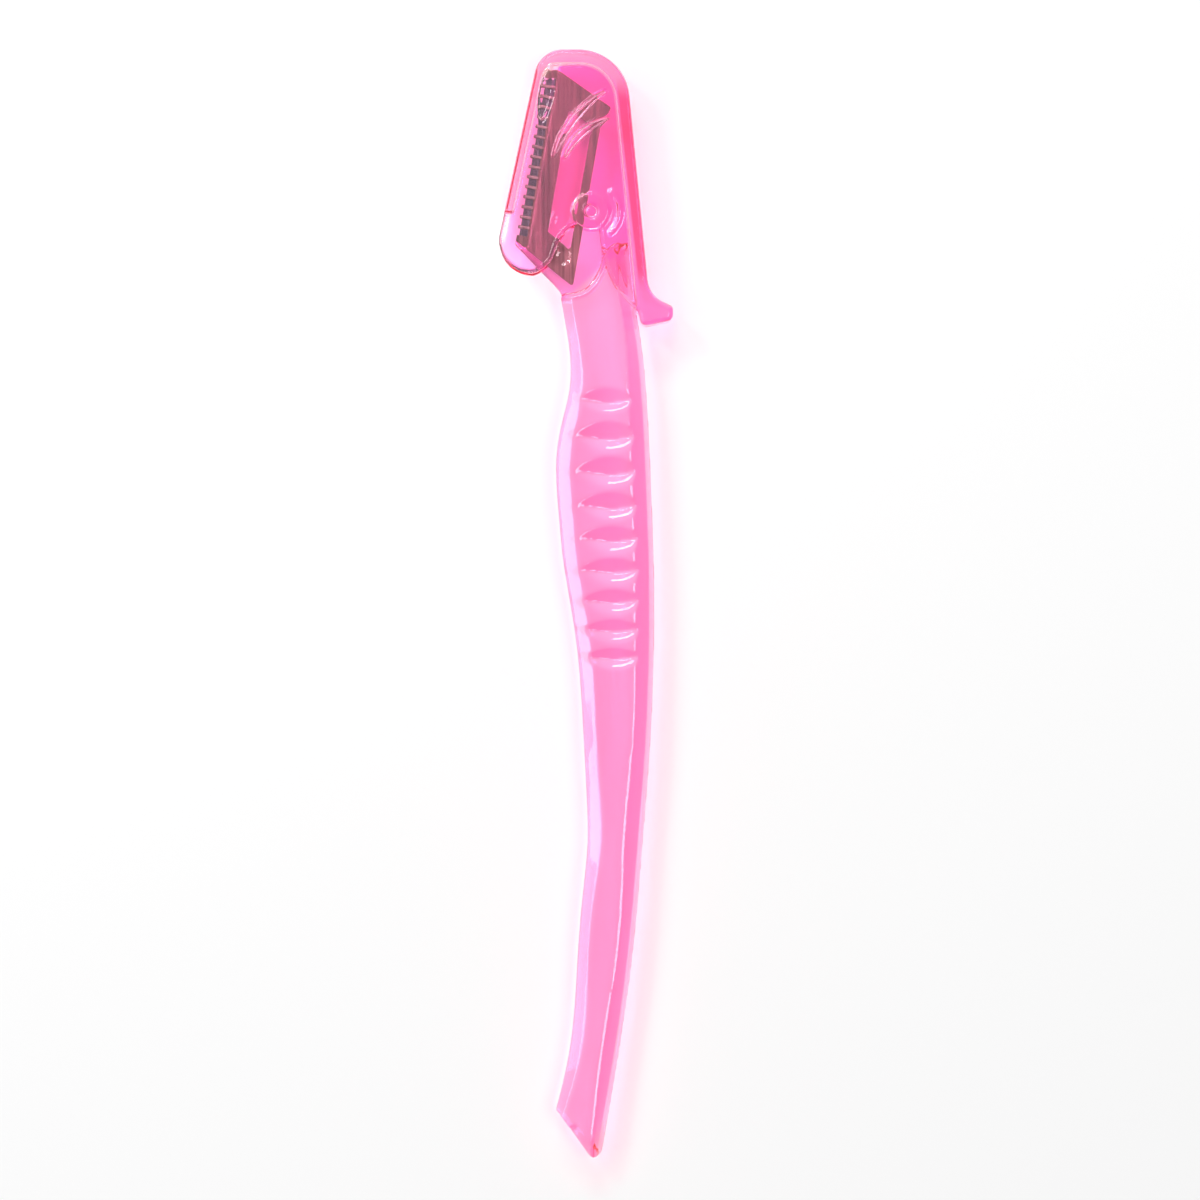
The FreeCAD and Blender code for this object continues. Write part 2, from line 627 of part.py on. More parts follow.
def edge_wall_opening():
    """The gap below the edge wall's end, between the two lobes."""
    edge = cap_lines()[0]
    start = on_line(edge, EDGE_WALL_END)
    low = on_line(edge, -LOBE_DROP - OVERRUN)
    away = Vec(-OVERRUN, 0, 0)
    inward = Vec(CAP_EDGE_WALL, 0, 0)
    corners = [(start + away, 0), (start + inward, 0), (low + inward, 0), (low + away, 0)]
    return prism(rounded_path(corners), CAVITY_FLOOR, CAVITY_ROOF)


def crescent(shares, bottom, top):
    """A pointed crescent between two points, each side bowed by its own share."""
    low_x, low_y, high_x, high_y, outer, inner = shares
    start = Vec(low_x * HEAD_WIDTH, low_y * HEAD_LENGTH, 0)
    end = Vec(high_x * HEAD_WIDTH, high_y * HEAD_LENGTH, 0)
    chord = end - start
    side = Vec(-chord.y, chord.x, 0).normalize() * HEAD_WIDTH
    middle = (start + end) / 2
    edges = [Part.Arc(start, middle + side * outer, end).toShape(),
             Part.Arc(end, middle + side * inner, start).toShape()]
    return prism(edges, bottom, top)


def boss_arc():
    """The raised arc that curves round the boss on the spine's side."""
    low, top = CAP_FRONT - CAP_FACE / 2, CAP_FRONT + BOSS_ARC_HEIGHT
    centre = boss_centre() + UP * low
    outer, inner = BOSS_ARC_RADIUS + BOSS_ARC_WIDTH / 2, BOSS_ARC_RADIUS - BOSS_ARC_WIDTH / 2
    sector = Part.makeCylinder(outer, top - low, centre, UP, BOSS_ARC_SWEEP_DEG)
    ring = sector.cut(Part.makeCylinder(inner, top - low, centre))
    ring.rotate(centre, UP, BOSS_ARC_START_DEG)
    return ring.common(prism(cap_outline(), low, top))


def cap_shell():
    """The cap's outer body, its rims broken, with the boss, its arc and the leaf on its front."""
    block = prism(cap_outline(), 0, CAP_FRONT)
    faces = sorted(block.Faces, key=lambda face: face.CenterOfMass.z)
    block = block.makeChamfer(CAP_EDGE_BREAK, faces[0].Edges + faces[-1].Edges)
    boss = Part.makeCylinder(BOSS_RADIUS, CAP_FRONT + BOSS_HEIGHT, boss_centre())
    return block.fuse([boss, boss_arc(), crescent(RELIEF_SHARES, MIDDLE, CAP_FRONT + RELIEF_HEIGHT)])


def cap():
    """The clear hood with its lobes, boss, tab and ribs."""
    shell = cap_shell().cut([cap_cavity(), edge_wall_opening()])
    low, high = HEAD_FRONT + RIB_GAP, CAVITY_ROOF + CAP_FACE / 2
    ribs = [crescent(shares, low, high) for shares in RIB_SHARES]
    stud = Part.makeCylinder(PIP_RADIUS, high - low, boss_centre() + UP * low)
    hollow_floor = CAP_FRONT + BOSS_HEIGHT - PIP_HOLLOW
    hollow = Part.makeCylinder(PIP_RADIUS, OVERRUN, boss_centre() + UP * hollow_floor)
    return shell.fuse(ribs + [stud]).cut(hollow)


def build():
    """Every node's shape, in the datum's frame."""
    guard = guard_plate()
    steel_blade = blade()
    handle = handle_body().cut([guard, steel_blade])
    return {"handle": handle, "guard_plate": guard, "blade": steel_blade, "cap": cap()}


def main():
    """Build the pieces, centre them on the table and write them."""
    shapes = build()
    box = FreeCAD.BoundBox()
    for shape in shapes.values():
        box.add(shape.optimalBoundingBox())
    shift = Vec(-box.Center.x, -box.Center.y, -box.ZMin)
    os.makedirs("parts", exist_ok=True)
    for node, shape in shapes.items():
        shape.translate(shift)
        shape.exportStep(f"parts/{node}.step")
        print(node, shape.isValid(), len(shape.Solids), round(shape.Volume, 3), shape.BoundBox)
    print("shift", shift, "box", box)


if __name__ == "__main__":
    main()
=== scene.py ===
"""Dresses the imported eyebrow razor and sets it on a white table, seen from straight above.

Everything is in metres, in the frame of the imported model: +Z up, +Y from the tail to the capped
head, +X away from the cutting edge.
"""
import logging
import math
from dataclasses import dataclass, field
from enum import Enum

import bmesh
import bpy
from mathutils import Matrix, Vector
from mathutils.bvhtree import BVHTree


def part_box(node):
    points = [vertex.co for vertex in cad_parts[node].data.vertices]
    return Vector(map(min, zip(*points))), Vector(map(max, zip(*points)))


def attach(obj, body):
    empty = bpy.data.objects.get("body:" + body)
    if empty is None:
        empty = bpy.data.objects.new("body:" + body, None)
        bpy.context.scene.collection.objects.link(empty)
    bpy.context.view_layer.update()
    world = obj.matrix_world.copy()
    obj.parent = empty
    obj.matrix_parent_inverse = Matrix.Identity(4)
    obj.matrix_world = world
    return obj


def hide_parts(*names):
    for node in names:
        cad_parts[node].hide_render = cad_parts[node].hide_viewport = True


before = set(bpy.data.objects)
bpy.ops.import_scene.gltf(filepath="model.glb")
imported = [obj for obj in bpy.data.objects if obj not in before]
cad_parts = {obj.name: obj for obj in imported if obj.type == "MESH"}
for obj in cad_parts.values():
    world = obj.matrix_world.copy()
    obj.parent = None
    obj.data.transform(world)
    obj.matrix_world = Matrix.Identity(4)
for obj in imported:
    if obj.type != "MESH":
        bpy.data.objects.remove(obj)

LOG = logging.getLogger("razor")
MM = 0.001
Colour = tuple[float, float, float]
Place = tuple[float, float, float]
Range = tuple[float, float]
WHITE: Colour = (1.0, 1.0, 1.0)

# Two points of a mesh that are nearer than this are one.
JOIN_DISTANCE = 0.002 * MM
# An edge that bends less than this lies in a flat face and is left out.
FLAT_ANGLE = math.radians(0.3)
# An edge of the pressed steel that bends more than this stays sharp.
SHARP_ANGLE = math.radians(24.0)
# How much, and how many times, a moulding's points move towards their neighbours.
SOFT_SHARE = 0.5
SOFT_ROUNDS = 3


class Body(Enum):
    """The two bodies of the razor."""

    HANDLE = "handle"
    CAP = "cap"


class Slot(Enum):
    """The record's material slots for the plastic and the guard's steel."""

    PLASTIC = "clear_pink_plastic"
    GUARD = "guard_steel"


def opaque(colour: Colour) -> tuple[float, float, float, float]:
    """The colour with full alpha."""
    return (*colour, 1.0)


class Tree:
    """A short way to write a node tree."""

    def __init__(self, tree: bpy.types.NodeTree, family: str = "ShaderNode") -> None:
        """Wraps a node tree.

        Args:
            tree: The node tree.
            family: What the types of the nodes that are added start with.
        """
        self.nodes = tree.nodes
        self.links = tree.links
        self.family = family

    def add(self, kind: str, **settings: object) -> bpy.types.Node:
        """Adds a node.

        Args:
            kind: The node's type, without its family's name.
            settings: Attributes of the node, or inputs by name with their spaces as underscores.

        Returns:
            The new node.
        """
        node = self.nodes.new(self.family + kind)
        for key, value in settings.items():
            if hasattr(node, key):
                setattr(node, key, value)
            else:
                self.feed(node.inputs[key.replace("_", " ")], value)
        return node

    def feed(self, socket: bpy.types.NodeSocket, value: object) -> None:
        """Gives an input what it needs.

        Args:
            socket: The input.
            value: A socket to link it to, or its value.
        """
        if isinstance(value, bpy.types.NodeSocket):
            self.links.new(value, socket)
        else:
            socket.default_value = value

    def place(self) -> bpy.types.NodeSocket:
        """Where the point lies in the object."""
        return self.add("TexCoord").outputs["Object"]

    def maths(self, operation: str, a: object, b: object = 0.0) -> bpy.types.NodeSocket:
        """Adds a maths operation.

        Args:
            operation: The operation's name.
            a: Its first value or socket.
            b: Its second value or socket.

        Returns:
            The result.
        """
        node = self.add("Math", operation=operation)
        self.feed(node.inputs[0], a)
        self.feed(node.inputs[1], b)
        return node.outputs[0]

    def vectors(self, operation: str, a: object, b: object = (0.0, 0.0, 0.0)) -> bpy.types.NodeSocket:
        """Adds an operation on vectors.

        Args:
            operation: The operation's name.
            a: Its first vector or socket.
            b: Its second vector or socket.

        Returns:
            The result, a value for a dot product or a length and a vector for any other.
        """
        node = self.add("VectorMath", operation=operation)
        self.feed(node.inputs[0], a)
        self.feed(node.inputs[1], b)
        return node.outputs["Value" if operation in ("DOT_PRODUCT", "LENGTH") else "Vector"]

    def blend(self, share: object, a: object, b: object) -> bpy.types.NodeSocket:
        """Adds a colour between two others.

        Args:
            share: How much of the second colour it has.
            a: The first colour or socket.
            b: The second colour or socket.

        Returns:
            The colour.
        """
        node = self.add("Mix", data_type="RGBA")
        self.feed(node.inputs["Factor"], share)
        first, second = [socket for socket in node.inputs if socket.type == "RGBA"]
        self.feed(first, a)
        self.feed(second, b)
        return next(socket for socket in node.outputs if socket.type == "RGBA")

    def ramp(self, value: object, span: Range, result: Range = (0.0, 1.0)) -> bpy.types.NodeSocket:
        """Adds a smooth step.

        Args:
            value: The value or socket that it follows.
            span: The values between which it goes over.
            result: What it gives at the two ends of the span, and beyond them.

        Returns:
            The step's value.
        """
        node = self.add("MapRange", interpolation_type="SMOOTHSTEP", Value=value, From_Min=span[0],
                        From_Max=span[1], To_Min=result[0], To_Max=result[1])
        return node.outputs["Result"]

    def background_rays(self) -> tuple[bpy.types.NodeSocket, bpy.types.NodeSocket]:
        """Masks the rays that show the white background.

        Returns:
            The mask of all of them, and of those that come by way of a mirroring or clear face.
        """
        rays = self.add("LightPath").outputs
        mirrored = self.maths("MAXIMUM", rays["Is Glossy Ray"], rays["Is Transmission Ray"])
        return self.maths("MAXIMUM", rays["Is Camera Ray"], mirrored), mirrored


def new_group(name: str, inputs: dict[str, float], output: str) -> bpy.types.NodeTree:
    """Starts a shader group.

    Args:
        name: The group's name.
        inputs: Its float inputs with their defaults.
        output: Its float output.

    Returns:
        The group's tree, with its input and output nodes in place.
    """
    group = bpy.data.node_groups.new(name, "ShaderNodeTree")
    for key, value in inputs.items():
        socket = group.interface.new_socket(key, in_out="INPUT", socket_type="NodeSocketFloat")
        socket.default_value = value
    group.interface.new_socket(output, in_out="OUTPUT", socket_type="NodeSocketFloat")
    group.nodes.new("NodeGroupInput")
    group.nodes.new("NodeGroupOutput")
    return group


def new_material(name: str) -> tuple[bpy.types.Material, Tree, bpy.types.Node]:
    """Starts a material.

    Args:
        name: The material's name.

    Returns:
        The material, its tree, and its Principled shader.
    """
    material = bpy.data.materials.new(name)
    material.use_nodes = True
    tree = Tree(material.node_tree)
    return material, tree, tree.nodes["Principled BSDF"]


@dataclass
class Effects:
    """The shader groups that several finishes share.

    Attributes:
        marks: The values of the fine noise between which a mark shows.
        patches: The values of the broad noise between which marks gather.
        patch_scale: The broad noise's scale.
    """

    marks: Range = (0.5, 0.75)
    patches: Range = (0.4, 0.7)
    patch_scale: float = 160.0

    def __post_init__(self) -> None:
        """Builds the groups once."""
        self.moulding = self._moulding()
        self.scuffs = self._scuffs()

    def _moulding(self) -> bpy.types.NodeTree:
        """Builds the slow unevenness of a moulded face.

        Returns:
            The group, whose output is a height.
        """
        group = new_group("Moulded unevenness", {"Scale": 90.0, "Stretch": 0.35}, "Height")
        tree = Tree(group)
        given, result = group.nodes["Group Input"], group.nodes["Group Output"]
        stretch = tree.add("CombineXYZ", X=1.0, Y=given.outputs["Stretch"], Z=1.0)
        stretched = tree.vectors("MULTIPLY", tree.place(), stretch.outputs[0])
        noise = tree.add("TexNoise", Vector=stretched, Scale=given.outputs["Scale"], Detail=1.0)
        tree.feed(result.inputs["Height"], noise.outputs["Fac"])
        return group

    def _scuffs(self) -> bpy.types.NodeTree:
        """Builds the fine scuffs and handling marks.

        Returns:
            The group, whose output is a mask.
        """
        group = new_group("Handling scuffs", {"Scale": 900.0, "Amount": 0.5}, "Mask")
        tree = Tree(group)
        given, result = group.nodes["Group Input"], group.nodes["Group Output"]
        place = tree.place()
        fine = tree.add("TexNoise", Vector=place, Scale=given.outputs["Scale"], Detail=3.0)
        broad = tree.add("TexNoise", Vector=place, Scale=self.patch_scale, Detail=2.0)
        mask = tree.maths("MULTIPLY", tree.ramp(fine.outputs["Fac"], self.marks),
                          tree.ramp(broad.outputs["Fac"], self.patches))
        tree.feed(result.inputs["Mask"], tree.maths("MULTIPLY", mask, given.outputs["Amount"]))
        return group


@dataclass(frozen=True)
class ClearPlastic:
    """Tinted clear plastic: a polished face over a body that absorbs light.

    The front's slopes carry painted light and shade: each is painted paler or deeper by how far it turns
    to a fixed side, and the steep faces of its edges carry a painted tint as well.

    Attributes:
        bright_side: The side of the painted light, which the slopes painted pale turn to.
        whole_slope: How far a slope turns to that side, or from it, where its painted light or shade is
            whole.
        front: How far up a face looks where the back's tint ends and the front's painted light and shade
            is whole.
        steep: How far up or down a face looks where the edge's painted tint starts and is whole.
        shadow: The tint of a lamp's light that has gone through a broad face.
        edge_shadow: The tint of a lamp's light that has gone through an edge.
        longest_path: The ray depth past which a ray goes straight on, so that none ends in black.
    """

    name: str = "Clear pink plastic"
    # Painted light and shade: faces that look up and turn to bright_side take the first tint, those turned
    # away the second.
    painted_lit_slope: Colour = WHITE
    painted_shaded_slope: Colour = (1.0, 0.26, 0.50)
    bright_side: Place = (-0.6, 0.8, 0.0)
    whole_slope: float = 0.35
    back: Colour = (1.0, 0.98, 0.99)
    front: Range = (0.0, 0.2)
    # Painted shade: steep faces take this tint, deeper than the broad faces.
    edge: Colour = (1.0, 0.5, 0.62)
    steep: Range = (0.6, 0.25)
    body: Colour = (0.99, 0.08, 0.46)
    density: float = 145.0
    ior: float = 1.5
    roughness: float = 0.035
    scuffed_roughness: float = 0.14
    scuff_scale: float = 700.0
    scuff_amount: float = 0.6
    unevenness: float = 0.05
    wave_scale: float = 90.0
    wave_stretch: float = 0.35
    shadow: Colour = (1.0, 0.97, 0.985)
    edge_shadow: Colour = (0.93, 0.5, 0.66)
    longest_path: float = 8.0

    def make(self, effects: Effects) -> bpy.types.Material:
        """Builds the material.

        Args:
            effects: The shared shader groups.

        Returns:
            The material.
        """
        material, tree, shader = new_material(self.name)
        shader.inputs["Transmission Weight"].default_value = 1.0
        shader.inputs["IOR"].default_value = self.ior
        facing = tree.add("TexCoord").outputs["Normal"]
        up = tree.add("SeparateXYZ", Vector=facing).outputs["Z"]
        # Painted light and shade by how far each face turns to bright_side.
        turned = tree.vectors("DOT_PRODUCT", facing, self.bright_side)
        slope = tree.ramp(turned, (-self.whole_slope, self.whole_slope))
        face = tree.blend(tree.ramp(up, self.front), opaque(self.back), self.front_tint_with_painted_light(tree, slope))
        # Painted shade on the steep faces of the edges.
        steep = tree.ramp(tree.maths("ABSOLUTE", up), self.steep)
        tree.feed(shader.inputs["Base Color"], tree.blend(steep, face, opaque(self.edge)))
        self._wear(tree, shader, effects)
        output = tree.nodes["Material Output"]
        tree.feed(output.inputs["Surface"], self._lit_through(tree, shader, steep))
        depth = tree.add("VolumeAbsorption", Color=opaque(self.body), Density=self.density)
        tree.feed(output.inputs["Volume"], depth.outputs[0])
        return material

    def front_tint_with_painted_light(self, tree: Tree, slope: bpy.types.NodeSocket) -> bpy.types.NodeSocket:
        """The painted light and shade of the faces that look up, by how far they turn to the bright side.
        """
        return tree.blend(slope, opaque(self.painted_shaded_slope), opaque(self.painted_lit_slope))

    def _wear(self, tree: Tree, shader: bpy.types.Node, effects: Effects) -> None:
        """Dulls the polish with scuffs and gives it the mould's slow unevenness.

        Args:
            tree: The material's tree.
            shader: Its Principled shader.
            effects: The shared shader groups.
        """
        scuffs = tree.add("Group", node_tree=effects.scuffs, Scale=self.scuff_scale,
                          Amount=self.scuff_amount)
        roughness = tree.ramp(scuffs.outputs["Mask"], (0.0, 1.0), (self.roughness, self.scuffed_roughness))
        tree.feed(shader.inputs["Roughness"], roughness)
        wave = tree.add("Group", node_tree=effects.moulding, Scale=self.wave_scale,
                        Stretch=self.wave_stretch)
        bump = tree.add("Bump", Strength=self.unevenness, Distance=MM, Height=wave.outputs["Height"])
        tree.feed(shader.inputs["Normal"], bump.outputs["Normal"])

    def _lit_through(self, tree: Tree, shader: bpy.types.Node,
                     steep: bpy.types.NodeSocket) -> bpy.types.NodeSocket:
        """Lets the lamps' light and the longest paths straight through.

        Args:
            tree: The material's tree.
            shader: Its Principled shader.
            steep: The mask of the edge's faces.

        Returns:
            The whole surface's shader.
        """
        tint = tree.blend(steep, opaque(self.shadow), opaque(self.edge_shadow))
        clear = tree.add("BsdfTransparent", Color=tint)
        rays = tree.add("LightPath").outputs
        trapped = tree.maths("GREATER_THAN", rays["Ray Depth"], self.longest_path)
        mix = tree.add("MixShader")
        tree.feed(mix.inputs[0], tree.maths("MAXIMUM", rays["Is Shadow Ray"], trapped))
        tree.feed(mix.inputs[1], shader.outputs[0])
        tree.feed(mix.inputs[2], clear.outputs[0])
        return mix.outputs[0]

    @staticmethod
    def beyond(tree: Tree, side: Place, reach: float, fade: float) -> bpy.types.NodeSocket:
        """Masks what lies further to one side than a line.

        Args:
            tree: The material's tree.
            side: The direction to that side.
            reach: The line's distance from the origin.
            fade: Half the width over which the mask goes over.

        Returns:
            The mask.
        """
        along = tree.vectors("DOT_PRODUCT", tree.place(), side)
        return tree.ramp(along, (reach - fade, reach + fade))


@dataclass(frozen=True)
class HandlePlastic(ClearPlastic):
    """The handle's clear plastic, deeper where the head plate starts.

    Attributes:
        plate: The head plate's tint.
        head_side: The direction from the neck to the head plate.
        head_reach: How far from the origin the plate starts in that direction.
        fade: Half the width over which the tint goes over.
    """

    plate: Colour = (1.0, 0.42, 0.80)
    head_side: Place = (-0.668, 0.744, 0.0)
    head_reach: float = 33.0 * MM
    fade: float = 0.5 * MM

    def front_tint_with_painted_light(self, tree: Tree, slope: bpy.types.NodeSocket) -> bpy.types.NodeSocket:
        """The painted light and shade of the faces that look up, with the head plate's tint laid over it.
        """
        head = self.beyond(tree, self.head_side, self.head_reach, self.fade)
        return tree.blend(head, super().front_tint_with_painted_light(tree, slope), opaque(self.plate))


@dataclass(frozen=True)
class CapPlastic(ClearPlastic):
    """The cap's clear plastic, whose solid rim is painted pale on the light's side and painted deep, as in
    shade, on the other.

    Attributes:
        edge_side: The direction to the rim over the cutting edge.
        edge_reach: How far from the origin that rim starts.
        spine_side: The direction to the rim along the spine.
        spine_reach: How far from the origin that rim starts.
        tab_end: How far along the razor the thumb tab ends and that rim starts.
        crown_centre: The centre of the rim's round end.
        crown_radius: The radius at which the rim starts there.
        crown_height: How far above the centre the round end's tint starts and is whole.
        fade: Half the width over which the tints go over.
    """

    name: str = "Clear pink cap"
    # Painted shade of the cap's slopes turned away from the light's side.
    painted_shaded_slope: Colour = (1.0, 0.43, 0.86)
    # Painted highlight: the cap's steep edges take this pale tint.
    edge: Colour = (1.0, 0.86, 0.93)
    density: float = 150.0
    # Painted light on the rim's lit side and painted shade on the rim along the spine.
    painted_lit_rim: Colour = (1.0, 1.0, 0.94)
    painted_shaded_rim: Colour = (1.0, 0.25, 0.45)
    edge_side: Place = (-0.977, 0.213, 0.0)
    edge_reach: float = 21.5 * MM
    spine_side: Place = (0.994, 0.109, 0.0)
    spine_reach: float = 12.0 * MM
    tab_end: float = 44.5 * MM
    tab_fade: float = 2.0 * MM
    crown_centre: Place = (-1.2 * MM, 67.9 * MM, 0.0)
    crown_radius: float = 6.2 * MM
    crown_height: Range = (1.0 * MM, 5.0 * MM)
    fade: float = 0.15 * MM

    def front_tint_with_painted_light(self, tree: Tree, slope: bpy.types.NodeSocket) -> bpy.types.NodeSocket:
        """Lays the rim's painted light and painted shade over the painted tint of the faces that look up.

        Args:
            tree: The material's tree.
            slope: How far a face turns to the side of the painted light.

        Returns:
            The tint.
        """
        # Painted light on the rim over the cutting edge and its round end, painted shade on the rim along
        # the spine.
        edge = self.beyond(tree, self.edge_side, self.edge_reach, self.fade)
        spine = tree.maths("MULTIPLY", self.beyond(tree, self.spine_side, self.spine_reach, self.fade),
                           self.beyond(tree, (0.0, 1.0, 0.0), self.tab_end, self.tab_fade))
        tint = tree.blend(spine, super().front_tint_with_painted_light(tree, slope), opaque(self.painted_shaded_rim))
        return tree.blend(tree.maths("MAXIMUM", edge, self._crown(tree)), tint, opaque(self.painted_lit_rim))

    def _crown(self, tree: Tree) -> bpy.types.NodeSocket:
        """Masks the rim's round end, which is painted pale as if lit.

        Args:
            tree: The material's tree.

        Returns:
            The mask.
        """
        offset = tree.vectors("SUBTRACT", tree.place(), self.crown_centre)
        radius = tree.vectors("LENGTH", tree.vectors("MULTIPLY", offset, (1.0, 1.0, 0.0)))
        ring = tree.ramp(radius, (self.crown_radius - self.fade, self.crown_radius + self.fade))
        height = tree.add("SeparateXYZ", Vector=offset).outputs["Y"]
        return tree.maths("MULTIPLY", ring, tree.ramp(height, self.crown_height))


@dataclass(frozen=True)
class RolledSteel:
    """Thin rolled steel with fine lines along its length.

    Attributes:
        line_scale: How fine the lines are.
        line_stretch: How much slower they change along their length than across it.
        lean: How far the lines turn from the razor's length.
        lit: The values of the lines' noise between which the steel goes from dark to light.
        rough: The values between which its roughness goes over.
        spread: How far the roughness goes to each side of its middle, as a share of it.
        scuff_share: How much a scuff lightens the steel.
        relief: The strength of the lines' relief, which is relief_depth deep.
    """

    name: str
    light: Colour = (0.19, 0.105, 0.095)
    dark: Colour = (0.10, 0.055, 0.05)
    roughness: float = 0.34
    line_scale: float = 2600.0
    line_stretch: float = 0.02
    lean: float = math.radians(9.8)
    lit: Range = (0.3, 0.7)
    rough: Range = (0.2, 0.8)
    spread: float = 0.2
    scuff_scale: float = 1200.0
    scuff_share: float = 0.35
    relief: float = 0.2
    relief_depth: float = 0.02 * MM

    def make(self, effects: Effects) -> bpy.types.Material:
        """Builds the material.

        Args:
            effects: The shared shader groups.

        Returns:
            The material.
        """
        material, tree, shader = new_material(self.name)
        shader.inputs["Metallic"].default_value = 1.0
        lines = tree.add("Mapping", Vector=tree.place(), Scale=(1.0, self.line_stretch, 1.0),
                         Rotation=(0.0, 0.0, self.lean))
        noise = tree.add("TexNoise", Vector=lines.outputs[0], Scale=self.line_scale, Detail=2.0)
        grain = noise.outputs["Fac"]
        scuffs = tree.add("Group", node_tree=effects.scuffs, Scale=self.scuff_scale,
                          Amount=self.scuff_share)
        shade = tree.maths("ADD", scuffs.outputs["Mask"], tree.ramp(grain, self.lit))
        tree.feed(shader.inputs["Base Color"], tree.blend(shade, opaque(self.dark), opaque(self.light)))
        roughness = (self.roughness * (1.0 - self.spread), self.roughness * (1.0 + self.spread))
        tree.feed(shader.inputs["Roughness"], tree.ramp(grain, self.rough, roughness))
        bump = tree.add("Bump", Strength=self.relief, Distance=self.relief_depth, Height=grain)
        tree.feed(shader.inputs["Normal"], bump.outputs["Normal"])
        return material


def place_in_scene(name: str, data: bpy.types.ID) -> bpy.types.Object:
    """Makes an object at the origin.

    Args:
        name: The object's name.
        data: Its mesh, lamp or camera.

    Returns:
        The new object.
    """
    thing = bpy.data.objects.new(name, data)
    bpy.context.scene.collection.objects.link(thing)
    return thing


def joined_mesh(node: str) -> bmesh.types.BMesh:
    """Copies a CAD node's mesh and joins its loose triangles.

    Args:
        node: The node's name.

    Returns:
        The copy.
    """
    mesh = bmesh.new()
    mesh.from_mesh(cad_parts[node].data)
    bmesh.ops.remove_doubles(mesh, verts=mesh.verts, dist=JOIN_DISTANCE)
    return mesh


def islands(mesh: bmesh.types.BMesh) -> list[list[bmesh.types.BMFace]]:
    """Groups a mesh's faces by what hangs together.

    Args:
        mesh: The mesh.

    Returns:
        The groups.
    """
    seen = set()
    groups = []
    for start in mesh.faces:
        if start in seen:
            continue
        seen.add(start)
        group = [start]
        for face in group:
            for other in (other for edge in face.edges for other in edge.link_faces):
                if other not in seen:
                    seen.add(other)
                    group.append(other)
        groups.append(group)
    return groups


def make_whole(mesh: bmesh.types.BMesh) -> bmesh.types.BMesh:
    """The same mesh with each flat face made of one polygon."""
    bmesh.ops.dissolve_limit(mesh, angle_limit=FLAT_ANGLE, verts=mesh.verts, edges=mesh.edges,
                             delimit={"NORMAL"})
    return mesh


def smooth_piece(name: str, mesh: bmesh.types.BMesh) -> bpy.types.Object:
    """Turns a bmesh into a smooth object at the origin.

    Args:
        name: The piece's name.
        mesh: The bmesh, which is freed.

    Returns:
        The new object.
    """
    data = bpy.data.meshes.new(name)
    mesh.to_mesh(data)
    mesh.free()
    data.shade_smooth()
    return place_in_scene(name, data)


def settle(piece: bpy.types.Object) -> None:
    """Makes what a piece's modifiers give its own mesh, and takes them off.

    Args:
        piece: The piece.
    """
    mesh = bpy.data.meshes.new_from_object(piece.evaluated_get(bpy.context.evaluated_depsgraph_get()))
    piece.modifiers.clear()
    piece.data = mesh
    mesh.name = piece.name


def keep_crisp(piece: bpy.types.Object) -> None:
    """Keeps the edges of pressed steel sharp and its flat faces even.

    Args:
        piece: The piece.
    """
    piece.data.set_sharp_from_angle(angle=SHARP_ANGLE)
    weigh = piece.modifiers.new("Even shading", "WEIGHTED_NORMAL")
    weigh.mode = "FACE_AREA_WITH_ANGLE"
    weigh.keep_sharp = True


def soften(piece: bpy.types.Object, node: str, voxel: float) -> None:
    """Rounds every edge of a closed piece a little, as moulding does, on an even fine mesh.

    Args:
        piece: The piece.
        node: The CAD node whose box it stays within.
        voxel: The size of the new mesh's faces.
    """
    even = piece.modifiers.new("Even mesh", "REMESH")
    even.mode = "VOXEL"
    even.voxel_size = voxel
    even.use_smooth_shade = True
    soft = piece.modifiers.new("Soft edges", "SMOOTH")
    soft.factor = SOFT_SHARE
    soft.iterations = SOFT_ROUNDS
    settle(piece)
    low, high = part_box(node)
    for vert in piece.data.vertices:
        vert.co = [min(max(value, least), most) for value, least, most in zip(vert.co, low, high)]


